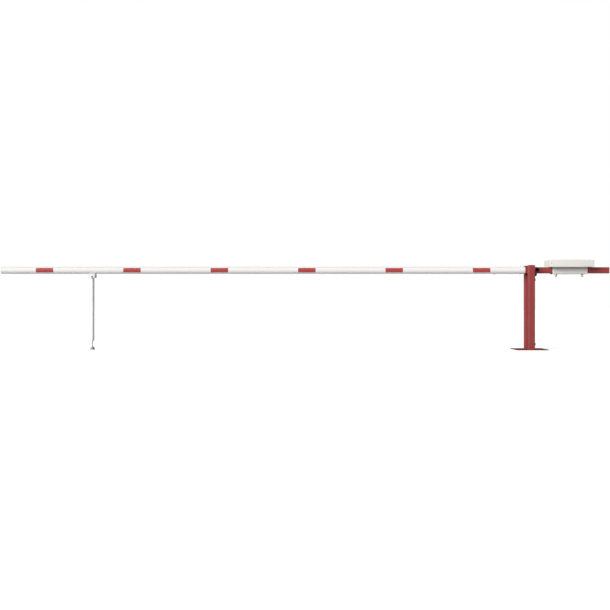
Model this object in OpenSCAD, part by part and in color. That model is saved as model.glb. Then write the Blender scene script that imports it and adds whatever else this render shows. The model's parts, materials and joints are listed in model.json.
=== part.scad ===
// Manual parking barrier gate: a fork post of two square uprights, a counterweighted
// lifting arm with a round boom, and a hanging support leg near the boom's tip.
// Origin at the centre of the base plate's underside. +X runs to the counterweight,
// +Z is up, and the boom points to -X. All sizes are in millimetres.

/* [Base plate] */
// Side of the square base plate
base_w = 360; // [320:10:500]
// Thickness of the base plate
base_t = 8; // [6:1:20]
// Spacing of the four anchor holes
anchor_pitch = 300; // [270:10:300]
// Diameter of each anchor hole
anchor_d = 18; // [12:1:22]

/* [Post] */
// Width of each square upright
post_w = 70; // [70:1:80]
// Wall thickness of the uprights
post_wall = 4; // [3:0.5:6]
// Clear gap between the two uprights
fork_gap = 110; // [110:1:120]
// Height of the post above the ground, caps included
post_h = 966; // [960:1:1000]
// Thickness of the steel caps on the uprights
post_cap_t = 4; // [3:0.5:6]
// Thickness of the ear plates and the lock lugs
ear_t = 8; // [6:0.5:8]

/* [Pivot] */
// Distance of the pivot axis from the middle of the post
pivot_x = 37; // [37:1:40]
// Height of the pivot axis above the ground
pivot_z = 910; // [910:1:920]
// Diameter of the pivot shaft
shaft_d = 28; // [24:1:28]
// Length of the pivot shaft
shaft_l = 400; // [280:10:420]
// Diameter of the black caps on the shaft ends
shaft_cap_d = 41; // [34:1:50]
// Thickness of the black caps
shaft_cap_t = 5; // [3:0.5:8]

/* [Lifting arm] */
// Width and height of the square arm tube
arm_w = 70; // [70:1:70]
// Wall thickness of the arm tube
arm_wall = 4; // [3:0.5:5]
// Left end of the arm tube
arm_x0 = -55; // [-70:1:-55]
// Right end of the arm tube, without its cap
arm_x1 = 905; // [860:1:905]
// Thickness of the arm's end cap
arm_cap_t = 4; // [2:0.5:6]
// Width of the square spigot inside the boom
spigot_w = 50; // [44:1:50]
// Reach of the spigot into the boom
spigot_l = 400; // [380:10:600]

/* [Boom] */
// Length of the round boom tube
boom_l = 6000; // [4000:1000:6000]
// Outer diameter of the boom tube
boom_d = 80; // [78:1:84]
// Wall thickness of the boom tube
boom_wall = 3; // [2:0.5:3]
// Height of the domed cap on the boom's tip
boom_dome = 12; // [6:1:20]
// Distances of the two clamp bolts from the boom's right end
boom_bolt_at = [50, 350]; // [30:1:360]
// Length of each reflective strip
strip_l = 200; // [100:10:300]
// Height of each reflective strip
strip_h = 50; // [30:1:60]
// Pitch of the reflective strips
strip_pitch = 1000; // [500:100:1000]

/* [Counterweight] */
// Left side of the counterweight box
box_x0 = 206; // [206:1:216]
// Length of the box
box_l = 500; // [500:1:520]
// Depth of the box, front to back
box_d = 256; // [240:1:260]
// Height of the box
box_h = 80; // [78:1:100]
// Sheet thickness of the cover
cover_t = 2; // [1.5:0.5:3]
// Number of steel slabs in the box
slab_count = 5; // [1:1:5]
// Thickness of one slab
slab_t = 10.8; // [8:0.2:10.8]
// Length of the saddle channel
saddle_l = 400; // [360:10:420]
// Spacing of the two long bolts through arm and box
stud_pitch = 300; // [260:10:320]
// How far the box can be set outward along the arm
weight_travel = 80; // [40:5:80]

/* [Support leg] */
// Distance of the leg from the boom's tip
leg_from_tip = 1040; // [600:10:1400]
// Height of the leg's pivot above the ground
leg_pivot_z = 840; // [838:1:842]
// Outer diameter of the leg tube
leg_d = 42; // [34:1:42]
// Wall thickness of the leg tube
leg_wall = 2.5; // [2:0.5:4]
// Height of the leg tube's lower end
leg_z0 = 105; // [100:1:140]
// Diameter of the rubber foot
foot_d = 54; // [45:1:54]
// Height of the rubber foot
foot_h = 31; // [20:1:35]
// Width of the bracket along the boom
bracket_w = 72; // [60:1:90]

/* [Hidden] */

red = [0.68, 0.16, 0.16];
white = [0.93, 0.93, 0.92];
light_grey = [0.88, 0.88, 0.86];
zinc = [0.70, 0.71, 0.73];
rubber = [0.12, 0.12, 0.12];
bronze = [0.72, 0.55, 0.30];

smooth = 64;        // segments of a true circle
gap = 0.5;          // gap between bodies that slide past each other
fit = 0.05;         // radial clearance of a running fit
tap = 0.02;         // radial clearance of a bolt in its own thread
cut = 1;            // how far a cutter runs past a face

tube_corner = 6;    // outer corner radius of the square tubes
upright_y = fork_gap/2 + post_w/2;
ear_y = fork_gap/2 - ear_t;
shaft_r = shaft_d/2;

cross_pin_r = 3;
cross_pin_l = 40;
cross_pin_y = fork_gap/2 + post_wall + cross_pin_r + 0.2;

ear_x0 = -5;
ear_x1 = 74;
ear_z0 = 839;
ear_z1 = 946;
ear_corner = 24;

lug_r = 25;
lug_x = 34;         // middle of a lug's round end
lug_root_x = lug_x - lug_r;
lug_hole_x = 45;
lug_hole_r = 6.5;
lug_z = [800, 65];  // heights of the upper and lower pair

cross_x0 = -7;      // left face of the two cross plates
rest_z0 = 841;
rest_t = 8;
pad_t = 5.6;
stop_z = [110, 150];
stop_t = 5;
stop_pad_t = 3.6;

hub_r = 20;
hub_bore_r = 17;
hub_half = 44;
bush_l = 30;
bush_flange_r = 22;
bush_flange_t = 2;

boom_x1 = arm_x0;
boom_x0 = boom_x1 - boom_l;
arm_z0 = pivot_z - arm_w/2;
arm_z1 = pivot_z + arm_w/2;
spigot_wall = 4;
joint_t = 6;

m10_r = 5;
m10_af = 17;
m12_r = 6;
m12_af = 19;
m16_r = 8;
m16_af = 24;

box_z0 = arm_z1 + gap;
box_z1 = arm_z1 + box_h;
tray_t = 4;
tray_wall = 3;
tray_h = 55;
saddle_t = 4.5;
saddle_z0 = 866;
saddle_half = arm_w/2 + gap + saddle_t;
stud_x = box_x0 + box_l/2 + stud_pitch/2;
slab_z0 = box_z0 + tray_t;
slab_gap = 0.2;     // paint film between two slabs
slab_pitch = slab_t + slab_gap;
slab_z1 = slab_z0 + slab_count*slab_pitch - slab_gap;
slot_r = m16_r + 1;
cover_screw_in = 13;
cover_screw_z = 988;

leg_x = boom_x0 + leg_from_tip;
boom_z0 = pivot_z - boom_d/2;
bracket_t = 6;
bracket_half = 47;
bracket_z0 = 825;
leg_top_r = 23;
barrel_r = 9;
rod_top = 230;
nut_t = 10;

// Square outline with rounded corners, centred
module rounded_rect(w, d, r) {
    square([w - 2*r, d], center = true);
    square([w, d - 2*r], center = true);
    for (x = [-1, 1], y = [-1, 1])
        translate([x*(w/2 - r), y*(d/2 - r)]) circle(r, $fn = smooth);
}

// Outline of a square tube
module tube_outline(w, wall) {
    difference() {
        rounded_rect(w, w, tube_corner);
        rounded_rect(w - 2*wall, w - 2*wall, tube_corner - wall + 1);
    }
}

// Outline in Y and Z, extruded along +X from x0
module along_x(x0, l) translate([x0, 0, 0]) rotate([90, 0, 90]) linear_extrude(l) children();

// Outline in X and Z, extruded along +Y from y0
module along_y(y0, l) translate([0, y0 + l, 0]) rotate([90, 0, 0]) linear_extrude(l) children();

// Cylinder along +Y
module pin_y(x, z, y0, l, r) along_y(y0, l) translate([x, z]) circle(r, $fn = smooth);

// Cylinder along +X
module pin_x(x0, y, z, l, r) along_x(x0, l) translate([y, z]) circle(r, $fn = smooth);

// Cylinder along +Z
module pin_z(x, y, z0, l, r) translate([x, y, z0]) cylinder(r = r, h = l, $fn = smooth);

// Hexagon along +Z, given by its width over the flats
module hex_z(x, y, z0, l, af) translate([x, y, z0]) rotate(30) cylinder(d = af/cos(30), h = l, $fn = 6);

// Hexagon along +Y, given by its width over the flats
module hex_y(x, z, y0, l, af) along_y(y0, l) translate([x, z]) circle(d = af/cos(30), $fn = 6);

// Copies of one piece on the front and the back
module front_and_back() {
    children();
    mirror([0, 1, 0]) children();
}

// Slot with round ends along X, centred on Y = 0
module slot_x(x0, l, r, z0, h) {
    translate([x0, -r, z0]) cube([l, 2*r, h]);
    for (x = [x0, x0 + l]) pin_z(x, 0, z0, h, r);
}

// ---- Post ----

module base_plate() {
    color(red) difference() {
        linear_extrude(base_t) rounded_rect(base_w, base_w, 8);
        for (x = [-1, 1], y = [-1, 1])
            pin_z(x*anchor_pitch/2, y*anchor_pitch/2, -cut, base_t + 2*cut, anchor_d/2);
    }
}

// Upright on one side: side is -1 at the front and 1 at the rear
module upright(side) {
    difference() {
        translate([0, side*upright_y, base_t])
            linear_extrude(post_h - post_cap_t - base_t) tube_outline(post_w, post_wall);
        pin_y(pivot_x, pivot_z, side*upright_y - post_w/2 - cut, post_w + 2*cut, shaft_r + gap);
    }
}

module front_upright() { color(red) upright(-1); }

module rear_upright() { color(red) upright(1); }

module upright_caps() {
    color(red) front_and_back() translate([0, upright_y, post_h - post_cap_t])
        linear_extrude(post_cap_t) rounded_rect(post_w, post_w, tube_corner);
}

// Plate welded to the inner face of an upright; it carries the shaft
module ear_plate(y0) {
    along_y(y0, ear_t) difference() {
        union() {
            translate([ear_x0, ear_z0 + ear_corner])
                square([ear_x1 - ear_x0, ear_z1 - ear_z0 - ear_corner]);
            translate([ear_x0, ear_z0]) square([ear_x1 - ear_corner - ear_x0, ear_corner + cut]);
            translate([ear_x1 - ear_corner, ear_z0 + ear_corner]) circle(ear_corner, $fn = smooth);
        }
        translate([pivot_x, pivot_z]) circle(shaft_r + fit, $fn = smooth);
    }
}

module front_ear_plate() { color(red) ear_plate(-ear_y - ear_t); }

module rear_ear_plate() { color(red) ear_plate(ear_y); }

module lock_lugs() {
    color(red) front_and_back() for (z = lug_z) along_y(ear_y, ear_t) difference() {
        union() {
            translate([lug_x, z]) circle(lug_r, $fn = smooth);
            translate([lug_root_x, z - lug_r]) square([lug_x - lug_root_x, 2*lug_r]);
        }
        translate([lug_hole_x, z]) circle(lug_hole_r, $fn = smooth);
    }
}

module pivot_shaft() {
    color(red) difference() {
        pin_y(pivot_x, pivot_z, -shaft_l/2, shaft_l, shaft_r);
        for (y = [-1, 1]) pin_x(pivot_x - shaft_d, y*cross_pin_y, pivot_z, 2*shaft_d, cross_pin_r);
    }
}

module shaft_caps() {
    color(rubber) front_and_back()
        pin_y(pivot_x, pivot_z, shaft_l/2, shaft_cap_t, shaft_cap_d/2);
}

// Cross pins that keep the shaft from sliding out of the uprights
module shaft_pins() {
    color(zinc) for (y = [-1, 1])
        pin_x(pivot_x - cross_pin_l/2, y*cross_pin_y, pivot_z, cross_pin_l, cross_pin_r - tap);
}

module rest_plate() {
    color(red) translate([cross_x0, -ear_y, rest_z0])
        cube([rest_t, 2*ear_y, arm_z0 - rest_z0 - pad_t - 0.4]);
}

module rest_pad() {
    color(rubber) translate([cross_x0, -35, arm_z0 - pad_t - 0.4]) cube([rest_t, 70, pad_t]);
}

module stop_plate() {
    color(red) translate([cross_x0, -fork_gap/2, stop_z[0]])
        cube([stop_t, fork_gap, stop_z[1] - stop_z[0]]);
}

module stop_pad() {
    color(rubber) translate([cross_x0 + stop_t, -30, stop_z[0] + 5])
        cube([stop_pad_t, 60, stop_z[1] - stop_z[0] - 10]);
}

// ---- Lifting arm ----

module arm_tube() {
    color(red) difference() {
        along_x(arm_x0, arm_x1 - arm_x0) translate([0, pivot_z]) tube_outline(arm_w, arm_wall);
        pin_y(pivot_x, pivot_z, -arm_w, 2*arm_w, hub_r);
        for (x = [stud_x - stud_pitch, stud_x])
            slot_x(x, weight_travel, slot_r, arm_z0 - cut, arm_w + 2*cut);
        pin_z(box_x0 + 40, 0, arm_z0 - cut, arm_wall + 2*cut, m10_r + tap);
        pin_z(arm_x1 - 13, 0, arm_z0 - cut, arm_wall + 2*cut, 2 + tap);
    }
}

module arm_joint_plate() {
    color(red) difference() {
        along_x(arm_x0, joint_t) translate([0, pivot_z])
            rounded_rect(arm_w - 2*arm_wall, arm_w - 2*arm_wall, tube_corner - arm_wall + 1);
        along_x(arm_x0 - cut, joint_t + 2*cut) translate([0, pivot_z]) circle(12, $fn = smooth);
    }
}

module arm_spigot() {
    color(red) difference() {
        along_x(arm_x0 - spigot_l, spigot_l) translate([0, pivot_z]) tube_outline(spigot_w, spigot_wall);
        for (d = boom_bolt_at) pin_z(boom_x1 - d, 0, pivot_z - spigot_w, 2*spigot_w, m10_r + 0.25);
    }
}

module arm_end_cap() {
    plug = arm_w - 2*arm_wall - 0.2;
    color(red) difference() {
        union() {
            along_x(arm_x1, arm_cap_t) translate([0, pivot_z]) rounded_rect(arm_w, arm_w, tube_corner);
            along_x(arm_x1 - 26, 26) translate([0, pivot_z]) rounded_rect(plug, plug, 3);
        }
        along_x(arm_x1 - 26 - cut, 26 + cut) translate([0, pivot_z]) rounded_rect(plug - 6, plug - 6, 2);
        pin_z(arm_x1 - 13, 0, arm_z0 - cut, 12, 2 + tap);
    }
}

module cap_screw() {
    color(zinc) {
        pin_z(arm_x1 - 13, 0, arm_z0 - 1.5, 1.5, 4);
        pin_z(arm_x1 - 13, 0, arm_z0 - 0.5, 10, 2);
    }
}

module pivot_hub() {
    color(red) difference() {
        pin_y(pivot_x, pivot_z, -hub_half, 2*hub_half, hub_r);
        pin_y(pivot_x, pivot_z, -hub_half - cut, 2*(hub_half + cut), hub_bore_r);
    }
}

module pivot_bushes() {
    color(bronze) front_and_back() difference() {
        union() {
            pin_y(pivot_x, pivot_z, hub_half - bush_l, bush_l, hub_bore_r);
            pin_y(pivot_x, pivot_z, hub_half, bush_flange_t, bush_flange_r);
        }
        pin_y(pivot_x, pivot_z, hub_half - bush_l - cut, bush_l + bush_flange_t + 2*cut, shaft_r + fit);
    }
}

// Screw under the arm that the saddle is set against
module weight_stop_screw() {
    color(red) {
        hex_z(box_x0 + 40, 0, arm_z0 - 8, 8, m10_af);
        pin_z(box_x0 + 40, 0, arm_z0 - 0.5, 16, m10_r);
    }
}

// ---- Boom ----

module boom_tube() {
    color(white) difference() {
        along_x(boom_x0, boom_l) translate([0, pivot_z]) difference() {
            circle(boom_d/2, $fn = smooth);
            circle(boom_d/2 - boom_wall, $fn = smooth);
        }
        for (d = boom_bolt_at) pin_z(boom_x1 - d, 0, pivot_z - boom_d, 2*boom_d, m10_r + 0.25);
        for (x = [-1, 1]) pin_z(leg_x + x*24, 0, boom_z0 - cut, boom_wall + 2*cut, 3 + tap);
    }
}

module boom_end_cap() {
    dome_r = (pow(boom_d/2, 2) + pow(boom_dome, 2))/(2*boom_dome);
    color(white) {
        intersection() {
            translate([boom_x0 - 2 - boom_dome + dome_r, 0, pivot_z]) sphere(dome_r, $fn = smooth);
            along_x(boom_x0 - 2 - boom_dome, boom_dome) translate([0, pivot_z])
                circle(boom_d/2, $fn = smooth);
        }
        along_x(boom_x0 - 2, 2) translate([0, pivot_z]) circle(boom_d/2, $fn = smooth);
        along_x(boom_x0, 30) translate([0, pivot_z]) circle(boom_d/2 - boom_wall - 0.1, $fn = smooth);
    }
}

// Reflective strips wrapped on one side of the boom, one every strip_pitch
module strips() {
    half_angle = asin(strip_h/boom_d);
    tape = 0.3;
    for (n = [0 : boom_l/strip_pitch - 1])
        along_x(boom_x1 - strip_pitch*(n + 0.5) - strip_l/2, strip_l) translate([0, pivot_z])
            intersection() {
                difference() {
                    circle(boom_d/2 + tape, $fn = smooth);
                    circle(boom_d/2, $fn = smooth);
                }
                polygon([[0, 0], [boom_d, -boom_d*tan(half_angle)], [boom_d, boom_d*tan(half_angle)]]);
            }
}

module front_strips() { color(red) mirror([0, 1, 0]) strips(); }

module rear_strips() { color(red) strips(); }

module joint_bolts() {
    color(zinc) for (d = boom_bolt_at) {
        hex_z(boom_x1 - d, 0, pivot_z + boom_d/2, 6.4, m10_af);
        pin_z(boom_x1 - d, 0, boom_z0 - 10, boom_d + 11, m10_r);
    }
}

module joint_nuts() {
    color(zinc) for (d = boom_bolt_at) difference() {
        hex_z(boom_x1 - d, 0, boom_z0 - 8, 8, m10_af);
        pin_z(boom_x1 - d, 0, boom_z0 - 9, 10, m10_r + tap);
    }
}

module leg_bracket() {
    side_h = boom_z0 - bracket_z0;
    color(white) difference() {
        union() {
            translate([leg_x - bracket_w/2, -bracket_half, boom_z0 - bracket_t])
                cube([bracket_w, 2*bracket_half, bracket_t]);
            front_and_back() translate([leg_x - bracket_w/2, bracket_half - bracket_t, bracket_z0])
                cube([bracket_w, bracket_t, side_h]);
        }
        pin_y(leg_x, leg_pivot_z, -bracket_half - cut, 2*(bracket_half + cut), m12_r + tap);
        for (x = [-1, 1]) {
            pin_z(leg_x + x*24, 0, boom_z0 - bracket_t - cut, bracket_t + 2*cut, 3 + tap);
            pin_z(leg_x + x*24, 0, boom_z0 - bracket_t - cut, 3 + cut, 6 + tap);
        }
    }
}

module bracket_screws() {
    color(zinc) for (x = [-1, 1]) {
        pin_z(leg_x + x*24, 0, boom_z0 - bracket_t + 0.2, 2.8, 6);
        pin_z(leg_x + x*24, 0, boom_z0 - bracket_t + 1, 16, 3);
    }
}

module leg_pivot_bolt() {
    color(zinc) {
        hex_y(leg_x, leg_pivot_z, -bracket_half - 7.5, 7.5, m12_af);
        pin_y(leg_x, leg_pivot_z, -bracket_half - 1, 2*bracket_half + 15, m12_r);
    }
}

module leg_pivot_nut() {
    color(zinc) difference() {
        hex_y(leg_x, leg_pivot_z, bracket_half, nut_t, m12_af);
        pin_y(leg_x, leg_pivot_z, bracket_half - cut, nut_t + 2*cut, m12_r + tap);
    }
}

// ---- Counterweight ----

// Vertical holes for the two long bolts
module stud_holes(z0, h, r) {
    for (x = [stud_x - stud_pitch, stud_x]) pin_z(x, 0, z0, h, r);
}

// Holes for the four cover screws, along Y
module cover_screw_holes(r) {
    for (x = [box_x0 + cover_screw_in, box_x0 + box_l - cover_screw_in])
        pin_y(x, cover_screw_z, -box_d, 2*box_d, r);
}

module weight_tray() {
    in = cover_t + gap;
    w = box_l - 2*in;
    d = box_d - 2*in;
    color(zinc) difference() {
        translate([box_x0 + in, -d/2, box_z0]) cube([w, d, tray_h]);
        translate([box_x0 + in + tray_wall, -d/2 + tray_wall, box_z0 + tray_t])
            cube([w - 2*tray_wall, d - 2*tray_wall, tray_h]);
        stud_holes(box_z0 - cut, tray_t + 2*cut, m16_r + 0.5);
        cover_screw_holes(2.5 + tap);
    }
}

module weight_slabs() {
    w = box_l - 14;
    d = box_d - 20;
    color(zinc) for (n = [0 : slab_count - 1]) difference() {
        translate([box_x0 + 7, -d/2, slab_z0 + n*slab_pitch]) cube([w, d, slab_t]);
        stud_holes(slab_z0 + n*slab_pitch - cut, slab_t + 2*cut, m16_r + 0.5);
    }
}

module weight_cover() {
    color(light_grey) difference() {
        translate([box_x0, -box_d/2, box_z0]) cube([box_l, box_d, box_z1 - box_z0]);
        translate([box_x0 + cover_t, -box_d/2 + cover_t, box_z0 - cut])
            cube([box_l - 2*cover_t, box_d - 2*cover_t, box_z1 - box_z0 - cover_t + cut]);
        cover_screw_holes(2.5 + tap);
    }
}

module cover_screws() {
    color(zinc) front_and_back()
        for (x = [box_x0 + cover_screw_in, box_x0 + box_l - cover_screw_in]) {
            pin_y(x, cover_screw_z, box_d/2, 2.2, 4);
            pin_y(x, cover_screw_z, box_d/2 - 8, 9, 2.5);
        }
}

module weight_saddle() {
    x0 = box_x0 + box_l/2 - saddle_l/2;
    inner = saddle_half - saddle_t;
    color(light_grey) difference() {
        translate([x0, -saddle_half, saddle_z0]) cube([saddle_l, 2*saddle_half, box_z0 - saddle_z0]);
        translate([x0 - cut, -inner, saddle_z0 + saddle_t])
            cube([saddle_l + 2*cut, 2*inner, box_z0 - saddle_z0]);
        stud_holes(saddle_z0 - cut, saddle_t + 2*cut, m16_r + 0.5);
    }
}

module packing_strip() {
    color(rubber) difference() {
        translate([box_x0 + box_l/2 - saddle_l/2 + 10, -30, saddle_z0 + saddle_t])
            cube([saddle_l - 20, 60, arm_z0 - saddle_z0 - saddle_t - 0.4]);
        stud_holes(saddle_z0, 20, m16_r + 0.5);
    }
}

module weight_bolts() {
    color(zinc) for (x = [stud_x - stud_pitch, stud_x]) {
        hex_z(x, 0, slab_z1 + 3, 10, m16_af);
        pin_z(x, 0, 834, slab_z1 + 4 - 834, m16_r);
    }
}

module weight_washers() {
    color(zinc) for (x = [stud_x - stud_pitch, stud_x]) difference() {
        pin_z(x, 0, slab_z1, 3, 15);
        pin_z(x, 0, slab_z1 - cut, 5, m16_r + 0.5);
    }
}

module weight_nuts() {
    color(zinc) for (x = [stud_x - stud_pitch, stud_x]) difference() {
        hex_z(x, 0, saddle_z0 - 13, 13, m16_af);
        pin_z(x, 0, saddle_z0 - 14, 15, m16_r + tap);
    }
}

// ---- Support leg ----

module leg_tube() {
    color(white) difference() {
        intersection() {
            pin_z(leg_x, 0, leg_z0, leg_pivot_z + leg_top_r - leg_z0, leg_d/2);
            union() {
                pin_y(leg_x, leg_pivot_z, -leg_d, 2*leg_d, leg_top_r);
                translate([leg_x - leg_d, -leg_d, leg_z0 - cut])
                    cube([2*leg_d, 2*leg_d, leg_pivot_z - leg_z0 + cut]);
            }
        }
        pin_z(leg_x, 0, leg_z0 - cut, leg_pivot_z, leg_d/2 - leg_wall);
        pin_y(leg_x, leg_pivot_z, -leg_d, 2*leg_d, barrel_r);
    }
}

module leg_barrel() {
    half = bracket_half - bracket_t - 0.3;
    color(zinc) difference() {
        pin_y(leg_x, leg_pivot_z, -half, 2*half, barrel_r);
        pin_y(leg_x, leg_pivot_z, -half - cut, 2*(half + cut), m12_r + fit);
    }
}

module leg_insert() {
    color(zinc) difference() {
        pin_z(leg_x, 0, leg_z0, 30, leg_d/2 - leg_wall);
        pin_z(leg_x, 0, leg_z0 - cut, 30 + 2*cut, m12_r + fit);
    }
}

module lock_nut() {
    color(zinc) difference() {
        hex_z(leg_x, 0, leg_z0 - nut_t, nut_t, m12_af);
        pin_z(leg_x, 0, leg_z0 - nut_t - cut, nut_t + 2*cut, m12_r + fit);
    }
}

module foot_rod() {
    color(zinc) pin_z(leg_x, 0, foot_h - 20, rod_top - foot_h + 20, m12_r);
}

module foot_pad() {
    color(rubber) difference() {
        pin_z(leg_x, 0, 0, foot_h, foot_d/2);
        pin_z(leg_x, 0, foot_h - 20, 20 + cut, m12_r);
    }
}

base_plate();
front_upright();
rear_upright();
upright_caps();
front_ear_plate();
rear_ear_plate();
lock_lugs();
pivot_shaft();
shaft_caps();
shaft_pins();
rest_plate();
rest_pad();
stop_plate();
stop_pad();
arm_tube();
arm_joint_plate();
arm_spigot();
arm_end_cap();
cap_screw();
pivot_hub();
pivot_bushes();
weight_stop_screw();
boom_tube();
boom_end_cap();
front_strips();
rear_strips();
joint_bolts();
joint_nuts();
leg_bracket();
bracket_screws();
leg_pivot_bolt();
leg_pivot_nut();
weight_tray();
weight_slabs();
weight_cover();
cover_screws();
weight_saddle();
packing_strip();
weight_bolts();
weight_washers();
weight_nuts();
leg_tube();
leg_barrel();
leg_insert();
lock_nut();
foot_rod();
foot_pad();
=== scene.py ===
"""Looks of the parking barrier gate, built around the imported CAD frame. Sizes are in metres."""

import json
import math
import random

import bmesh
import bpy
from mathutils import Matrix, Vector


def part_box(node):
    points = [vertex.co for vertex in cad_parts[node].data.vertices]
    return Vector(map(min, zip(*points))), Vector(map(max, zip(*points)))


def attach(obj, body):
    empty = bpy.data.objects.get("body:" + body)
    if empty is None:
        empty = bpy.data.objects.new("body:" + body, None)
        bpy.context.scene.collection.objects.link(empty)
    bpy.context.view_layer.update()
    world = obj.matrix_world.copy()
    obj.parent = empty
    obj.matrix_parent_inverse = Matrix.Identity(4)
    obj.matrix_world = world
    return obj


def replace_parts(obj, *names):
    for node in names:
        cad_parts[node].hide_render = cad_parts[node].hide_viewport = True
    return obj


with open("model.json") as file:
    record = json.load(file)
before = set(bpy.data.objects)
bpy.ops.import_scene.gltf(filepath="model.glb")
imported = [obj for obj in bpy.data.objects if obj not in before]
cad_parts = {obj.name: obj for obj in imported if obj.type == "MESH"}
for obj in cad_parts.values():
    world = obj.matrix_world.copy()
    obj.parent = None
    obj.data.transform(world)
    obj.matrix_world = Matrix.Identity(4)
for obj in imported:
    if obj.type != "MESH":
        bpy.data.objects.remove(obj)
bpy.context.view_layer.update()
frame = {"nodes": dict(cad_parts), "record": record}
random.seed(7)

RECORD = frame["record"]
BODY_OF = {node: body for body, nodes in RECORD["behaviour"]["bodies"].items() for node in nodes}
SLOT_OF = {part["node"]: part["material_slot"] for part in RECORD["subparts"]}

MM = 0.001
RING = 72  # points round a turned or hexagonal piece
CORNER_SHARE = 0.9  # share of an inset that a corner's radius loses, so that it stays open
RED = (0.290, 0.0450, 0.0440)
WHITE = (0.85, 0.85, 0.85)


# ---- Camera, stage and light ----


def aim(obj, direction):
    """Points a lamp or camera along a direction."""
    obj.rotation_mode = "QUATERNION"
    obj.rotation_quaternion = Vector(direction).to_track_quat("-Z", "Y")


def add_camera():
    """Level camera on the boom's side of the post, looking square at the barrier."""
    centre_x = -2.5756
    distance = 10.15
    eye_height = 0.512
    data = bpy.data.cameras.new("camera")
    data.sensor_width = 36.0
    data.lens = 52.17
    data.clip_end = 500
    camera = bpy.data.objects.new("camera", data)
    camera.location = (centre_x, -distance, eye_height)
    aim(camera, (0, 1, 0))
    bpy.context.scene.collection.objects.link(camera)
    bpy.context.scene.camera = camera


def add_key_light():
    """Soft low light from the left in front."""
    data = bpy.data.lights.new("key", "SUN")
    data.energy = 3.85
    data.angle = math.radians(34)
    data.color = (1.0, 0.985, 0.97)
    lamp = bpy.data.objects.new("key", data)
    aim(lamp, (0.70, 0.62, -0.36))
    bpy.context.scene.collection.objects.link(lamp)


def set_world():
    """Even sky with a brighter lower half, as over a white floor."""
    world = bpy.data.worlds.new("studio")
    world.use_nodes = True
    tree = world.node_tree
    tree.nodes["Background"].inputs["Color"].default_value = (1, 1, 1, 1)
    direction = tree.nodes.new("ShaderNodeTexCoord")
    split = tree.nodes.new("ShaderNodeSeparateXYZ")
    ramp = tree.nodes.new("ShaderNodeMapRange")
    ramp.inputs["From Min"].default_value = -0.85
    ramp.inputs["From Max"].default_value = 0.05
    ramp.inputs["To Min"].default_value = 0.45
    ramp.inputs["To Max"].default_value = 0.24
    tree.links.new(direction.outputs["Generated"], split.inputs[0])
    tree.links.new(split.outputs["Z"], ramp.inputs["Value"])
    tree.links.new(ramp.outputs["Result"], tree.nodes["Background"].inputs["Strength"])
    bpy.context.scene.world = world


def camera_only(obj):
    """The camera sees obj, but it neither lights nor shades the barrier."""
    obj.visible_diffuse = obj.visible_glossy = obj.visible_shadow = False
    obj.visible_transmission = False


def add_stage():
    """Pale floor and an even white surround."""
    bpy.ops.mesh.primitive_plane_add(size=160)
    floor = bpy.context.object
    floor.name = "floor"
    paint = bpy.data.materials.new("floor_white")
    paint.use_nodes = True
    shader = paint.node_tree.nodes["Principled BSDF"]
    shader.inputs["Base Color"].default_value = (0.62, 0.62, 0.62, 1)
    shader.inputs["Roughness"].default_value = 1.0
    shader.inputs["Specular IOR Level"].default_value = 0.0
    shader.inputs["Emission Color"].default_value = (1, 1, 1, 1)
    shader.inputs["Emission Strength"].default_value = 0.70
    floor.data.materials.append(paint)
    bpy.ops.mesh.primitive_uv_sphere_add(segments=48, ring_count=24, radius=79)
    surround = bpy.context.object
    surround.name = "surround"
    glow = bpy.data.materials.new("surround_white")
    glow.use_nodes = True
    tree = glow.node_tree
    tree.nodes.remove(tree.nodes["Principled BSDF"])
    emission = tree.nodes.new("ShaderNodeEmission")
    tree.links.new(emission.outputs[0], tree.nodes["Material Output"].inputs["Surface"])
    surround.data.materials.append(glow)
    for piece in (floor, surround):
        camera_only(piece)


# ---- Materials ----


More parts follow.
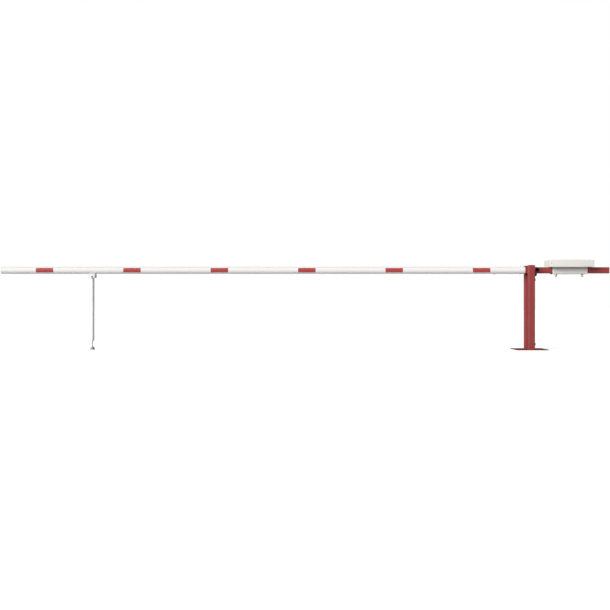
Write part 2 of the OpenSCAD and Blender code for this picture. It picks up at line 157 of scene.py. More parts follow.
class Finish:
    """A Principled material with a few procedural layers on row-frame coordinates."""

    def __init__(self, name, color, roughness, metallic=0.0):
        self.material = bpy.data.materials.new(name)
        self.material.use_nodes = True
        self.tree = self.material.node_tree
        self.shader = self.tree.nodes["Principled BSDF"]
        self.coords = self.tree.nodes.new("ShaderNodeTexCoord").outputs["Object"]
        self.set("Base Color", (*color, 1))
        self.set("Roughness", roughness)
        self.set("Metallic", metallic)

    def set(self, socket, value):
        self.shader.inputs[socket].default_value = value

    def link(self, out, into):
        self.tree.links.new(out, into)

    def stretched(self, scale, turn=0.0):
        """Coordinates scaled by a vector and turned about Y, for streaks and grids."""
        node = self.tree.nodes.new("ShaderNodeMapping")
        node.inputs["Scale"].default_value = scale
        node.inputs["Rotation"].default_value = (0.0, turn, 0.0)
        self.link(self.coords, node.inputs["Vector"])
        return node.outputs["Vector"]

    def noise(self, scale, detail=3.0, coords=None):
        node = self.tree.nodes.new("ShaderNodeTexNoise")
        node.inputs["Scale"].default_value = scale
        node.inputs["Detail"].default_value = detail
        self.link(coords or self.coords, node.inputs["Vector"])
        return node.outputs["Fac"]

    def grid(self, scale):
        """Distance from the walls of a diamond grid, seen along Y."""
        node = self.tree.nodes.new("ShaderNodeTexVoronoi")
        node.feature = "DISTANCE_TO_EDGE"
        node.inputs["Scale"].default_value = scale
        node.inputs["Randomness"].default_value = 0.0
        self.link(self.stretched((1.0, 0.0, 1.0), math.radians(45)), node.inputs["Vector"])
        return node.outputs["Distance"]

    def span(self, value, low, high, out_low, out_high):
        node = self.tree.nodes.new("ShaderNodeMapRange")
        for socket, number in zip(
            ("From Min", "From Max", "To Min", "To Max"), (low, high, out_low, out_high)
        ):
            node.inputs[socket].default_value = number
        self.link(value, node.inputs["Value"])
        return node.outputs["Result"]

    def colors(self, mask, dark, light):
        """Base colour that runs from dark to light with the mask."""
        node = self.tree.nodes.new("ShaderNodeMix")
        node.data_type = "RGBA"
        node.inputs["A"].default_value = (*dark, 1)
        node.inputs["B"].default_value = (*light, 1)
        self.link(mask, node.inputs["Factor"])
        self.link(node.outputs["Result"], self.shader.inputs["Base Color"])

    def combine(self, first, second, operation):
        node = self.tree.nodes.new("ShaderNodeMath")
        node.operation = operation
        self.link(first, node.inputs[0])
        self.link(second, node.inputs[1])
        return node.outputs["Value"]

    def roughness(self, value):
        self.link(value, self.shader.inputs["Roughness"])

    def bump(self, height, distance):
        node = self.tree.nodes.new("ShaderNodeBump")
        node.inputs["Distance"].default_value = distance
        self.link(height, node.inputs["Height"])
        self.link(node.outputs["Normal"], self.shader.inputs["Normal"])


def shade(color, factor):
    return tuple(channel * factor for channel in color)


def powder_coat(name, color, contrast, gloss, streaks=(1.0, 1.0, 1.0), coat=0.15):
    """Powder coat: orange peel, slight patchiness, cloudy gloss and fine scuffs."""
    finish = Finish(name, color, gloss)
    place = finish.stretched(streaks)
    patches = finish.span(finish.noise(6.0, 5.0, place), 0.35, 0.65, 0.0, 1.0)
    finish.colors(patches, shade(color, 1 - contrast), shade(color, 1 + contrast))
    rubbed = finish.noise(38.0, 3.0, finish.stretched((1.0, 1.0, 0.12)))
    scuffs = finish.span(rubbed, 0.50, 0.85, 0.0, 0.12)
    clouds = finish.span(finish.noise(14.0, 3.0, place), 0.3, 0.7, gloss - 0.06, gloss + 0.08)
    finish.roughness(finish.combine(clouds, scuffs, "ADD"))
    finish.bump(finish.noise(420.0, 2.0), 0.00008)
    finish.set("Specular IOR Level", 0.42)
    finish.set("Coat Weight", coat)
    finish.set("Coat Roughness", 0.26)
    return finish.material


def base_coat():
    """Red paint with painted shade on its top faces, darker in noisy patches."""
    finish = Finish("red_paint_base", RED, 0.72)
    facing = finish.tree.nodes.new("ShaderNodeSeparateXYZ")
    finish.link(finish.tree.nodes["Texture Coordinate"].outputs["Normal"], facing.inputs[0])
    top = finish.span(facing.outputs["Z"], 0.5, 0.9, 0.0, 1.0)
    shade_patches = finish.span(finish.noise(9.0, 8.0), 0.30, 0.62, 0.55, 1.0)
    # Painted shade: upward faces turn a dull dark red in patches, standing in for the shade seen on the
    # plate's top.
    finish.colors(finish.combine(top, shade_patches, "MULTIPLY"), RED, (0.105, 0.040, 0.038))
    finish.roughness(finish.span(finish.noise(30.0, 6.0), 0.3, 0.7, 0.60, 0.85))
    finish.bump(finish.noise(260.0, 4.0), 0.00015)
    finish.set("Specular IOR Level", 0.12)
    return finish.material


def film():
    """Red reflective film: a fine diamond grid sealed under a clear face."""
    finish = Finish("red_film", (0.46, 0.055, 0.052), 0.34)
    walls = finish.span(finish.grid(230.0), 0.03, 0.09, 0.0, 1.0)
    finish.colors(walls, (0.36, 0.040, 0.038), (0.47, 0.058, 0.055))
    finish.roughness(finish.span(finish.noise(20.0), 0.3, 0.7, 0.28, 0.40))
    finish.bump(walls, 0.00003)
    finish.set("Coat Weight", 0.8)
    finish.set("Coat Roughness", 0.12)
    return finish.material


def plated():
    """Zinc plating: faint spangle and uneven gloss."""
    finish = Finish("zinc_steel", (0.52, 0.53, 0.55), 0.34, metallic=0.9)
    spangle = finish.span(finish.noise(260.0), 0.35, 0.65, 0.0, 1.0)
    finish.colors(spangle, (0.44, 0.45, 0.47), (0.60, 0.61, 0.62))
    finish.roughness(finish.span(finish.noise(90.0), 0.3, 0.7, 0.26, 0.44))
    finish.bump(finish.noise(1200.0), 0.00003)
    return finish.material


def mill_steel():
    finish = Finish("raw_steel", (0.10, 0.10, 0.11), 0.55, metallic=0.6)
    scale = finish.span(finish.noise(40.0, 6.0), 0.35, 0.65, 0.0, 1.0)
    finish.colors(scale, (0.06, 0.06, 0.07), (0.16, 0.14, 0.13))
    finish.bump(finish.noise(300.0), 0.00010)
    return finish.material


def bearing_bronze():
    finish = Finish("bronze", (0.50, 0.30, 0.12), 0.38, metallic=0.9)
    pores = finish.span(finish.noise(900.0), 0.3, 0.6, 0.0, 1.0)
    finish.colors(pores, (0.32, 0.18, 0.07), (0.54, 0.33, 0.14))
    finish.bump(pores, 0.00003)
    return finish.material


def moulded(name, color, gloss, grain=700.0, specular=0.5):
    """Moulded plastic or rubber with a fine grain."""
    finish = Finish(name, color, gloss)
    finish.set("Specular IOR Level", specular)
    tint = finish.span(finish.noise(25.0), 0.35, 0.65, 0.0, 1.0)
    finish.colors(tint, shade(color, 0.85), shade(color, 1.15))
    finish.roughness(finish.span(finish.noise(60.0), 0.3, 0.7, gloss - 0.06, gloss + 0.06))
    finish.bump(finish.noise(grain), 0.00006)
    return finish.material


FINISHES = {
    "red_paint": powder_coat("red_paint", RED, 0.05, 0.52, coat=0.05),
    "red_plastic": moulded("red_plastic", RED, 0.32),
    "red_film": film(),
    "white_aluminium": powder_coat("white_aluminium", WHITE, 0.012, 0.38, (0.03, 1.0, 1.0)),
    "white_plastic": moulded("white_plastic", WHITE, 0.36),
    "white_paint": powder_coat("white_paint", WHITE, 0.015, 0.38),
    "grey_paint": powder_coat("grey_paint", (0.745, 0.732, 0.692), 0.012, 0.62, coat=0.0),
    "zinc_steel": plated(),
    "raw_steel": mill_steel(),
    "bronze": bearing_bronze(),
    "black_plastic": moulded("black_plastic", (0.003, 0.003, 0.003), 0.7, 700.0, 0.08),
    "black_rubber": moulded("black_rubber", (0.012, 0.012, 0.012), 0.75, 350.0, 0.3),
    "grey_rubber": moulded("grey_rubber", (0.30, 0.30, 0.305), 0.45, 350.0),
}

# Nodes whose finish differs from the rest of their slot
SPECIAL = {"base_plate": base_coat()}


def paint_cad_nodes():
    """Gives every CAD node the finish of its slot."""
    for part in RECORD["subparts"]:
        mesh = frame["nodes"][part["node"]].data
        mesh.materials.clear()
        mesh.materials.append(SPECIAL.get(part["node"], FINISHES[part["material_slot"]]))


# ---- Building pieces ----


def axes(origin, axis="Z", sign=1):
    """Maps a point (u, v, w), with w along the axis, to the row frame."""
    turns = {"Z": 0, "X": 1, "Y": 2}[axis]

    def place(u, v, w):
        local = (sign * u, v, sign * w)
        return Vector(origin) + Vector(local[3 - turns :] + local[: 3 - turns])

    return place


def around(sides=RING):
    """Angles of even steps round a circle."""
    return [2 * math.pi * i / sides for i in range(sides)]


def polar(radius_at, sides=RING):
    """Outline from a radius for each angle."""
    return [(radius_at(a) * math.cos(a), radius_at(a) * math.sin(a)) for a in around(sides)]


def circle(radius, sides=RING):
    return polar(lambda angle: radius, sides)


def hexagon(flats):
    """Hexagon given by its width over the flats."""
    sixth = math.pi / 3
    return polar(lambda a: flats / 2 / math.cos((a + sixth / 2) % sixth - sixth / 2))


def cross(reach, half_width):
    """Cross-shaped outline of a screwdriver recess."""

    def bar(along, across):
        return min(reach / max(abs(along), 1e-6), half_width / max(abs(across), 1e-6))

    return polar(lambda a: max(bar(math.cos(a), math.sin(a)), bar(math.sin(a), math.cos(a))))


def clipped(outline, radius):
    """The outline with nothing beyond a radius."""
    return [tuple(Vector(p) * min(1.0, radius / Vector(p).length)) for p in outline]


def rounded_rect(width, depth, corner, steps=6):
    """Rectangle with round corners."""
    points = []
    for quarter, (x, y) in enumerate(((1, 1), (-1, 1), (-1, -1), (1, -1))):
        for step in range(steps + 1):
            angle = (quarter + step / steps) * math.pi / 2
            points.append(
                (
                    x * (width / 2 - corner) + corner * math.cos(angle),
                    y * (depth / 2 - corner) + corner * math.sin(angle),
                )
            )
    return points


def soft_edge(radius, steps=5):
    """Pairs of inset and drop round a quarter circle, from the side wall to the end face."""
    angles = [math.pi / 2 * i / steps for i in range(steps + 1)]
    return [(radius * (1 - math.cos(a)), radius * (1 - math.sin(a))) for a in angles]


def rounded_block(width, depth, corner, low, high, edge_low, edge_high):
    """Sections of a block whose end faces have rounded edges."""

    def outline(inset):
        return rounded_rect(width - 2 * inset, depth - 2 * inset, corner - CORNER_SHARE * inset)

    rows = [(low + drop, outline(inset)) for inset, drop in reversed(soft_edge(edge_low))]
    return rows + [(high - drop, outline(inset)) for inset, drop in soft_edge(edge_high)]


def turned(profile):
    """Sections of a turned piece, from pairs of height and radius."""
    return [(height, circle(radius)) for height, radius in profile]


def hex_body(flats, low, high, chamfer_low=True, chamfer_high=True):
    """Sections of a hexagon with its corners turned off at the chamfered ends."""
    face = 0.475 * flats  # radius of the flat end face
    corner = 0.578 * flats  # just outside the hexagon's corners
    slope = 0.58  # a chamfer at 30 degrees
    steps = 4
    outline = hexagon(flats)
    plain = [(0.0, outline)]
    chamfer = []
    for i in range(steps + 1):
        radius = face + (corner - face) * i / steps
        chamfer.append(((radius - face) * slope, clipped(outline, radius)))
    start = chamfer if chamfer_low else plain
    end = chamfer if chamfer_high else plain
    rows = [(low + rise, section) for rise, section in start]
    return rows + [(high - rise, section) for rise, section in reversed(end)]


def threaded(radius, pitch, low, high, sides=36):
    """Sections of a screw thread with a chamfered tip at each end."""
    depth = 0.6 * pitch
    flat = 0.125  # share of the slope cut off at crest and root
    per_turn = 8
    count = max(2, round((high - low) / pitch * per_turn))
    rows = []
    for i in range(count + 1):
        height = low + (high - low) * i / count
        room = radius - depth + min(height - low, high - height)

        def radius_at(angle):
            turn = (height / pitch - angle / (2 * math.pi)) % 1.0
            groove = min(1.0, max(0.0, (1 + 2 * flat) * abs(2 * turn - 1) - flat))
            return min(radius - depth * groove, room)

        rows.append((height, polar(radius_at, sides)))
    return rows


class Piece:
    """Mesh of one named piece."""

    def __init__(self, name):
        self.name = name
        self.mesh = bmesh.new()

    def skin(self, rows, tube=False):
        """Faces between rows of points; tube joins the last row to the first."""
        verts = [[self.mesh.verts.new(point) for point in row] for row in rows]
        pairs = list(zip(verts, verts[1:]))
        if tube:
            pairs.append((verts[-1], verts[0]))
        count = len(verts[0])
        for low, high in pairs:
            for i in range(count):
                j = (i + 1) % count
                self.mesh.faces.new((low[i], low[j], high[j], high[i]))
        if not tube:
            self.mesh.faces.new(verts[0][::-1])
            self.mesh.faces.new(verts[-1])

    def loft(self, place, sections, tube=False):
        """Skin over outlines, each with its height."""
        rows = [[place(u, v, height) for u, v in outline] for height, outline in sections]
        self.skin(rows, tube)

    def nut(self, place, flats, bore, low, high, collar=0.0):
        """Hexagon nut with a chamfered bore; collar is the height of its locking ring."""
        lead = 0.5 * MM
        mouth = bore + lead
        rows = [(low, circle(mouth))] + hex_body(flats, low, high - collar)
        if collar:
            ring = 0.44 * flats
            bend = 0.35 * collar
            rows += turned([(high - collar, ring), (high - bend, ring), (high, ring - 0.45 * collar)])
        rows += turned([(high, mouth), (high - lead, bore), (low + lead, bore)])
        self.loft(place, rows, tube=True)

    def pan_head(self, place, radius, height):
        """Domed screw head with a cross recess, standing on height zero."""
        dome = ((0.0, 1.0), (0.45, 1.0), (0.7, 0.95), (0.88, 0.84), (0.97, 0.72), (1.0, 0.6))
        recess = ((1.0, 0.52, 0.13), (0.35, 0.34, 0.09))
        rows = [(h * height, circle(r * radius)) for h, r in dome]
        rows += [(h * height, cross(reach * radius, half * radius)) for h, reach, half in recess]
        self.loft(place, rows)

    def bead(self, path, radius, up, closed=False):
        """Weld bead with ripples along a path; up is across the path's plane."""
        sides = 10
        ripple = 3  # points from one ripple to the next
        ripple_h = 0.07
        uneven = 0.03
        tip = 0.35  # size of an open bead's ends
        growth = 0.3  # what each point from the end adds
        rows = []
        count = len(path)
        for i, point in enumerate(path):
            ahead = path[(i + 1) % count] if closed or i + 1 < count else point
            behind = path[i - 1] if closed or i else point
            side = (ahead - behind).cross(up).normalized()
            taper = 1.0 if closed else min(1.0, tip + growth * min(i, count - 1 - i))
            wave = 1 - ripple_h + ripple_h * math.sin(2 * math.pi * i / ripple)
            swell = taper * radius * (wave + random.uniform(-uneven, uneven))
            rows.append([point + swell * (math.cos(a) * side + math.sin(a) * up) for a in around(sides)])
        self.skin(rows, closed)

    def make(self, body, slot, sharp=32, bevel=0.0):
        """Turns the gathered mesh into an object on a body."""
        bmesh.ops.recalc_face_normals(self.mesh, faces=self.mesh.faces)
        data = bpy.data.meshes.new(self.name)
        self.mesh.to_mesh(data)
        self.mesh.free()
        data.shade_smooth()
        data.set_sharp_from_angle(angle=math.radians(sharp))
        data.materials.append(FINISHES[slot])
        piece = bpy.data.objects.new(self.name, data)
        bpy.context.scene.collection.objects.link(piece)
        if bevel:
            soften(piece, bevel)
        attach(piece, body)
        return piece

    def stand_for(self, node, **looks):
        """Makes the piece in place of a CAD node, on its body and with its slot."""
        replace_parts(self.make(BODY_OF[node], SLOT_OF[node], **looks), node)


def soften(obj, width):
    """Small rounded edges, as on cut and ground steel."""
    weld = obj.modifiers.new("join", "WELD")
    weld.merge_threshold = 0.01 * MM
    bevel = obj.modifiers.new("edges", "BEVEL")
    bevel.width = width
    bevel.segments = 2
    bevel.limit_method = "ANGLE"
    bevel.angle_limit = math.radians(40)
    bevel.harden_normals = True


def piece_for(node):
    """A new piece for a CAD node, with the node's box and middle."""
    low, high = (Vector(corner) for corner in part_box(node))
    return Piece(node + "_shape"), low, high, (low + high) / 2


# ---- Counterweight ----


def weight_cover():
    """Bent sheet cover, open below, with rounded edges."""
    piece, low, high, middle = piece_for("weight_cover")
    size = high - low
    edge = 4 * MM
    sheet = 2 * MM

    def shell(inset):
        corner = edge - inset
        width, depth = size.x - 2 * inset, size.y - 2 * inset
        rows = [(0.0, rounded_rect(width, depth, corner))]
        for cut, drop in soft_edge(corner):
            outline = rounded_rect(width - 2 * cut, depth - 2 * cut, corner - CORNER_SHARE * cut)
            rows.append((size.z - inset - drop, outline))
        return rows

    piece.loft(axes((middle.x, middle.y, low.z)), shell(0)[::-1] + shell(sheet))
    piece.stand_for("weight_cover")


def cover_screws():
    piece, low, high, middle = piece_for("cover_screws")
    head_r = 4 * MM
    head_h = 2.2 * MM
    shank_r = 2.5 * MM
    for x in (low.x + head_r, high.x - head_r):
        for side, face in ((-1, low.y + head_h), (1, high.y - head_h)):
            place = axes((x, face, middle.z), "Y", side)
            piece.pan_head(place, head_r, head_h)
            piece.loft(place, threaded(shank_r, 1.0 * MM, -8 * MM, 0.0, 24))
    piece.stand_for("cover_screws")


def weight_saddle():
    """Channel bent from one plate, hanging under the box round the arm."""
    piece, low, high, middle = piece_for("weight_saddle")
    wall = 4.5 * MM
    bend = 8 * MM
    steps = 8
    half = high.y - middle.y

    def side_of(inset, bend_r):
        """Half of the channel's outline, from its top edge to the middle of its floor."""
        points = [(half - inset, high.z)]
        for i in range(steps + 1):
            angle = -math.pi / 2 * i / steps
            y = half - inset - bend_r * (1 - math.cos(angle))
            points.append((y, low.z + inset + bend_r * (1 + math.sin(angle))))
        return points

    outer = side_of(0.0, bend)
    inner = side_of(wall, bend - wall)
    outline = outer + [(-y, z) for y, z in reversed(outer)]
    outline += [(-y, z) for y, z in inner] + inner[::-1]
    piece.loft(axes((0, 0, 0), "X"), [(x, outline) for x in (low.x, high.x)])
    piece.stand_for("weight_saddle", bevel=0.7 * MM)


def long_bolts():
    """Bolts that hold the slabs, the tray, the arm and the saddle together, with washers and nuts."""
    piece, low, high, _ = piece_for("weight_bolts")
    radius = 8 * MM
    shank_r = radius - 0.4 * MM
    flats = 24 * MM
    head_h = 10 * MM
    thread_top = low.z + 60 * MM
    under = high.z - head_h
    spots = [low.x + flats / 2, high.x - flats / 2]
    for x in spots:
        place = axes((x, 0, 0))
        piece.loft(place, hex_body(flats, under, high.z, chamfer_low=False))
        piece.loft(place, turned([(thread_top, shank_r), (under, shank_r)]))
        piece.loft(place, threaded(radius, 2 * MM, low.z, thread_top, 48))
    piece.stand_for("weight_bolts")
    nuts, low, high, _ = piece_for("weight_nuts")
    for x in spots:
        nuts.nut(axes((x, 0, 0)), flats, radius, low.z, high.z)
    nuts.stand_for("weight_nuts")
    rings, low, high, _ = piece_for("weight_washers")
    edge = 0.4 * MM
    outer = high.y
    bore = radius + 0.5 * MM
    profile = [(low.z, bore), (low.z, outer - edge), (low.z + edge, outer)]
    profile += [(high.z - edge, outer), (high.z, outer - edge), (high.z, bore)]
    for x in spots:
        rings.loft(axes((x, 0, 0)), turned(profile), tube=True)
    rings.stand_for("weight_washers")


def packing_strip():
    """Rubber strip between the saddle and the underside of the arm."""
    piece, low, high, middle = piece_for("packing_strip")
    size = high - low
    rows = rounded_block(size.x, size.y, 4 * MM, low.z, high.z, 1 * MM, 1 * MM)
    piece.loft(axes((middle.x, middle.y, 0)), rows)
    piece.stand_for("packing_strip")


# ---- Lifting arm and boom ----


def stop_screw():
    piece, low, high, middle = piece_for("weight_stop_screw")
    flats = 17 * MM
    head_h = 8 * MM
    place = axes((middle.x, middle.y, 0))
    piece.loft(place, hex_body(flats, low.z, low.z + head_h, chamfer_high=False))
    piece.loft(place, threaded(5 * MM, 1.5 * MM, low.z + head_h - 0.5 * MM, high.z))
    piece.stand_for("weight_stop_screw")


def joint_bolts():
    """Two bolts that clamp the boom to its spigot, with nuts below."""
    piece, low, high, _ = piece_for("joint_bolts")
    flats = 17 * MM
    radius = 5 * MM
    shank_r = radius - 0.2 * MM
    collar_h = 0.4 * MM
    under = high.z - 6.4 * MM
    thread_top = low.z + 26 * MM
    spots = [low.x + flats / 2, high.x - flats / 2]
    for x in spots:
        place = axes((x, 0, 0))
        piece.loft(place, turned([(under - collar_h, 0.46 * flats), (under, 0.47 * flats)]))
        piece.loft(place, hex_body(flats, under, high.z, chamfer_low=False))
        piece.loft(place, turned([(thread_top, shank_r), (under, shank_r)]))
        piece.loft(place, threaded(radius, 1.5 * MM, low.z, thread_top))
    piece.stand_for("joint_bolts")
    nuts, low, high, _ = piece_for("joint_nuts")
    for x in spots:
        nuts.nut(axes((x, 0, 0)), flats, radius, low.z, high.z)
    nuts.stand_for("joint_nuts")


def arm_end_cap():
    """Ribbed plastic plug with a rounded flange."""
    piece, low, high, middle = piece_for("arm_end_cap")
    size = high - low
    start = high.x - 4 * MM
    plug = size.y - 8.2 * MM
    wall = 4 * MM
    fins = 4
    fin_pitch = 5.5 * MM
    fin_h = 1.1 * MM
    inside = rounded_rect(plug - 2 * wall, plug - 2 * wall, 2 * MM)
    tip = rounded_rect(plug - 3 * MM, plug - 3 * MM, 3 * MM)
    fin_root = rounded_rect(plug - 2 * fin_h, plug - 2 * fin_h, 3 * MM)
    fin_top = rounded_rect(plug, plug, 3.4 * MM)
    rows = [(start, inside), (low.x, inside), (low.x, tip)]
    for fin in range(fins):
        x = low.x + 3 * MM + fin * fin_pitch
        rows += [(x, fin_root), (x + 0.4 * MM, fin_top), (x + 1.6 * MM, fin_root)]
    rows.append((start, fin_top))
    rows += rounded_block(size.y, size.z, 6 * MM, start, high.x, 0.4 * MM, 2.2 * MM)
    for margin, dish in ((16 * MM, 0.0), (18 * MM, 0.6 * MM)):
        rows.append((high.x - dish, rounded_rect(size.y - margin, size.z - margin, 4 * MM)))
    piece.loft(axes((0, middle.y, middle.z), "X"), rows)
    piece.stand_for("arm_end_cap")


def cap_screw():
    piece, low, high, middle = piece_for("cap_screw")
    head_h = 1.5 * MM
    head_r = 4 * MM
    place = axes((middle.x, middle.y, low.z + head_h), "Z", -1)
    piece.pan_head(place, head_r, head_h)
    piece.loft(place, threaded(2 * MM, 1.0 * MM, low.z + head_h - high.z, 0.0, 24))
    piece.stand_for("cap_screw")


def boom_end_cap():
    """Domed plug with a rounded lip and three sealing ribs."""
    piece, low, high, middle = piece_for("boom_end_cap")
    radius = high.z - middle.z
    dome = 12 * MM
    dome_r = 0.985 * radius  # the dome stops just inside the lip
    lip = 2 * MM
    face = low.x + dome + lip
    sphere_r = (radius**2 + dome**2) / (2 * dome)
    steps = 18
    plug_r = radius - 3.6 * MM
    rib_h = 0.5 * MM
    rib_pitch = 8 * MM
    profile = []
    for i in range(1, steps + 1):
        r = dome_r * i / steps
        profile.append((low.x + sphere_r - math.sqrt(sphere_r**2 - r**2), r))
    profile += [(face - lip, radius - 0.25 * MM), (face - lip / 2, radius), (face - 0.2 * MM, radius)]
    profile += [(face, radius - 0.5 * MM), (face, plug_r)]
    for rib in range(3):
        x = face + 5 * MM + rib * rib_pitch
        profile += [(x, plug_r), (x + 1 * MM, plug_r + rib_h), (x + 3 * MM, plug_r)]
    profile.append((high.x, plug_r - 0.4 * MM))
    piece.loft(axes((0, middle.y, middle.z), "X"), turned(profile))
    piece.stand_for("boom_end_cap", sharp=40)


# ---- Post ----


def shaft_caps():
    """Push-on caps with a rounded rim and a shallow dish."""
    piece, _, high, middle = piece_for("shaft_caps")
    radius = high.z - middle.z
    height = 5 * MM
    dish = 0.9 * MM
    back = high.y - height
    profile = [(0.0, radius - 0.5 * MM), (0.4 * MM, radius)]
    profile += [(height - drop, radius - inset) for inset, drop in soft_edge(2.4 * MM, 7)]
    profile += [(height - 0.15 * MM, radius - 6 * MM), (height - 0.7 * MM, radius - 7 * MM)]
    profile += [(height - dish, radius - 12 * MM), (height - dish, 1.2 * MM)]
    for side in (-1, 1):
        piece.loft(axes((middle.x, side * back, middle.z), "Y", side), turned(profile))
    piece.stand_for("shaft_caps")


def upright_caps():
    piece, low, high, middle = piece_for("upright_caps")
    width = high.x - low.x
    for side in (-1, 1):
        rows = rounded_block(width, width, 6 * MM, low.z, high.z, 0.5 * MM, 2 * MM)
        piece.loft(axes((middle.x, side * (high.y - width / 2), 0)), rows)
    piece.stand_for("upright_caps")


def rest_pad():
    """Rubber block with three grooves across it."""
    piece, low, high, middle = piece_for("rest_pad")
    size = high - low
    rows = rounded_block(size.x, size.z, 1.4 * MM, low.y, high.y, 1 * MM, 1 * MM)
    deep = 1.2 * MM
    groove = ((-2.0 * MM, 0.0), (-1.4 * MM, deep), (1.4 * MM, deep), (2.0 * MM, 0.0))
    for centre in (-size.y / 4, 0.0, size.y / 4):
        for shift, cut in groove:
            outline = rounded_rect(size.x - 2 * cut, size.z - 2 * cut, 1.2 * MM)
            rows.append((centre + shift, outline))
    rows.sort(key=lambda row: row[0])
    upright = [(y, [(z, x) for x, z in outline]) for y, outline in rows]  # along Y, axes() takes Z first
    piece.loft(axes((middle.x, 0, middle.z), "Y"), upright)
    piece.stand_for("rest_pad")


def stop_pad():
    """Rubber buffer with a rounded face."""
    piece, low, high, middle = piece_for("stop_pad")
    size = high - low
    rows = rounded_block(size.y, size.z, 4 * MM, low.x, high.x, 0.3 * MM, 2.4 * MM)
    piece.loft(axes((0, middle.y, middle.z), "X"), rows)
    piece.stand_for("stop_pad")


# ---- Support leg ----


def bracket_screws():
    piece, low, high, middle = piece_for("bracket_screws")
    head_r = 6 * MM
    head_h = 2.8 * MM
    for x in (low.x + head_r, high.x - head_r):
        place = axes((x, middle.y, low.z + head_h), "Z", -1)
        piece.pan_head(place, head_r, head_h)
        piece.loft(place, threaded(3 * MM, 1.2 * MM, low.z + head_h - high.z, 0.0, 24))
    piece.stand_for("bracket_screws")


def leg_pivot():
    """Pivot bolt with a lock nut at the rear."""
    piece, low, high, middle = piece_for("leg_pivot_bolt")
    flats = 19 * MM
    radius = 6 * MM
    head_h = 7.5 * MM
    face = low.y + head_h
    thread_l = 22 * MM
    head = axes((middle.x, face, middle.z), "Y", -1)
    shank = axes((middle.x, 0, middle.z), "Y")
    piece.loft(head, hex_body(flats, 0.0, head_h, chamfer_low=False))
    piece.loft(shank, turned([(face - 1 * MM, radius), (high.y - thread_l, radius)]))
    piece.loft(shank, threaded(radius, 1.75 * MM, high.y - thread_l, high.y))
    piece.stand_for("leg_pivot_bolt")
    nut, low, high, _ = piece_for("leg_pivot_nut")
    nut.nut(shank, flats, radius, low.y, high.y, collar=3 * MM)
    nut.stand_for("leg_pivot_nut")


def foot_parts():
    """Threaded rod with its lock nut and a moulded foot."""
    rod, low, high, middle = piece_for("foot_rod")
    radius = 6 * MM
    place = axes((middle.x, middle.y, 0))
    rod.loft(place, threaded(radius, 1.75 * MM, low.z, high.z))
    rod.stand_for("foot_rod")
    nut, low, high, _ = piece_for("lock_nut")
    nut.nut(place, 19 * MM, radius, low.z, high.z)
    nut.stand_for("lock_nut")
    pad, low, high, _ = piece_for("foot_pad")
    outer = high.y
    neck = outer - 7 * MM
    rim = low.z + 9 * MM
    socket = 19 * MM
    profile = [(low.z, outer - 3 * MM), (low.z + 0.4 * MM, outer - 1.2 * MM), (low.z + 1.6 * MM, outer)]
    profile += [(rim - 1.5 * MM, outer), (rim, outer - 0.8 * MM), (rim + 1 * MM, outer - 2 * MM)]
    profile += [(high.z - 3 * MM, neck + 1 * MM), (high.z - 1 * MM, neck), (high.z, neck - 1.8 * MM)]
    profile += [(high.z, radius + 2 * MM), (high.z - 1 * MM, radius), (high.z - socket, radius)]
    pad.loft(place, turned(profile))
    pad.stand_for("foot_pad")


# ---- Welds ----


def line(start, end):
    """Evenly spaced points from start to end."""
    pitch = 1.3 * MM
    start, end = Vector(start), Vector(end)
    count = max(3, round((end - start).length / pitch))
    return [start.lerp(end, i / count) for i in range(count + 1)]


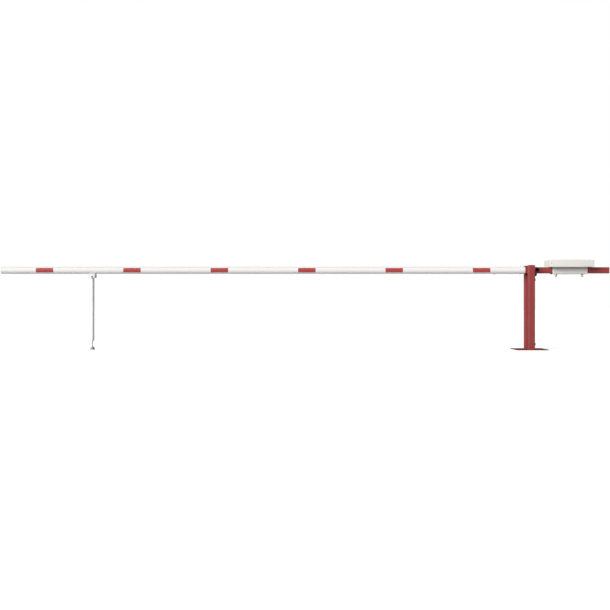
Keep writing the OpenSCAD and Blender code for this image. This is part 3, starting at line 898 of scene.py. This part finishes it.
def post_welds():
    """Fillet welds at the uprights' feet, round the ear plates and lugs, and at the cross plates."""
    welds = Piece("post_welds")
    foot = 3.2 * MM
    leg = 2.4 * MM
    thin = 0.8 * leg
    clear = 2 * MM  # from a weld's end to a plate's corner
    lug_h = 50 * MM
    upright_low, upright_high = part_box("rear_upright")
    width = upright_high[0] - upright_low[0]
    inner = upright_low[1]
    middle_y = inner + width / 2
    outline = rounded_rect(width + foot / 2, width + foot / 2, 7 * MM, 8)
    corner_x = upright_high[0] - 1.2 * MM
    ear_low, ear_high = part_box("rear_ear_plate")
    lug_low, lug_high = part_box("lock_lugs")
    heights = [(ear_low[2], ear_high[2], ear_low[0])]
    heights += [(low, low + lug_h, lug_low[0]) for low in (lug_low[2], lug_high[2] - lug_h)]
    stop_low, stop_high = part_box("stop_plate")
    rest_low, rest_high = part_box("rest_plate")
    for side in (-1, 1):
        corners = [Vector((x, side * middle_y + y, upright_low[2])) for x, y in outline]
        path = []
        for start, end in zip(corners, corners[1:] + corners[:1]):
            path += line(start, end)[:-1] if (end - start).length > 3 * MM else [start]
        welds.bead(path, foot, Vector((0, 0, 1)), closed=True)
        face = side * inner
        edge = side * (inner + 1 * MM)
        across = Vector((0, side, 0))
        for low, high, left in heights:
            start, end = low + clear, high - clear
            welds.bead(line((left, face, start), (left, face, end)), leg, across)
            welds.bead(line((corner_x, edge, start), (corner_x, edge, end)), leg, across)
            for z in (low, high):
                welds.bead(line((left, face, z), (corner_x - 6 * MM, face, z)), leg, across)
        for x in (stop_low[0], stop_high[0]):
            welds.bead(line((x, face, stop_low[2]), (x, face, stop_high[2])), thin, across)
        x, y = rest_high[0], side * rest_high[1]
        welds.bead(line((x, y, rest_low[2]), (x, y, rest_high[2] - clear)), leg, across)
    welds.make("post", "red_paint")


def hub_welds():
    """Ring welds where the pivot hub passes through the arm."""
    welds = Piece("hub_welds")
    hub_low, hub_high = (Vector(corner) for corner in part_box("pivot_hub"))
    middle = (hub_low + hub_high) / 2
    side_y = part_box("arm_tube")[1][1]
    radius = (hub_high.z - hub_low.z) / 2
    bead_r = 2.6 * MM
    for side in (-1, 1):
        place = axes((middle.x, side * side_y, middle.z), "Y")
        path = [place(u, v, 0.0) for u, v in circle(radius + 0.4 * MM, 96)]
        welds.bead(path, bead_r, Vector((0, 1, 0)), closed=True)
    welds.make("boom", "red_paint")


# Edge rounding of the flat CAD plates
EDGES = {
    "base_plate": 1.2 * MM,
    "front_ear_plate": 0.8 * MM,
    "rear_ear_plate": 0.8 * MM,
    "lock_lugs": 0.8 * MM,
    "rest_plate": 0.7 * MM,
    "stop_plate": 0.7 * MM,
    "leg_bracket": 0.8 * MM,
    "weight_tray": 0.4 * MM,
    "weight_slabs": 0.5 * MM,
}

DETAILS = (
    weight_cover,
    cover_screws,
    weight_saddle,
    long_bolts,
    packing_strip,
    stop_screw,
    joint_bolts,
    arm_end_cap,
    cap_screw,
    boom_end_cap,
    shaft_caps,
    upright_caps,
    rest_pad,
    stop_pad,
    bracket_screws,
    leg_pivot,
    foot_parts,
    post_welds,
    hub_welds,
)


add_camera()
add_key_light()
set_world()
add_stage()
paint_cad_nodes()
for detail in DETAILS:
    detail()
for node, width in EDGES.items():
    soften(frame["nodes"][node], width)

bpy.context.scene.view_settings.view_transform = "Standard"
bpy.context.scene.view_settings.look = "None"
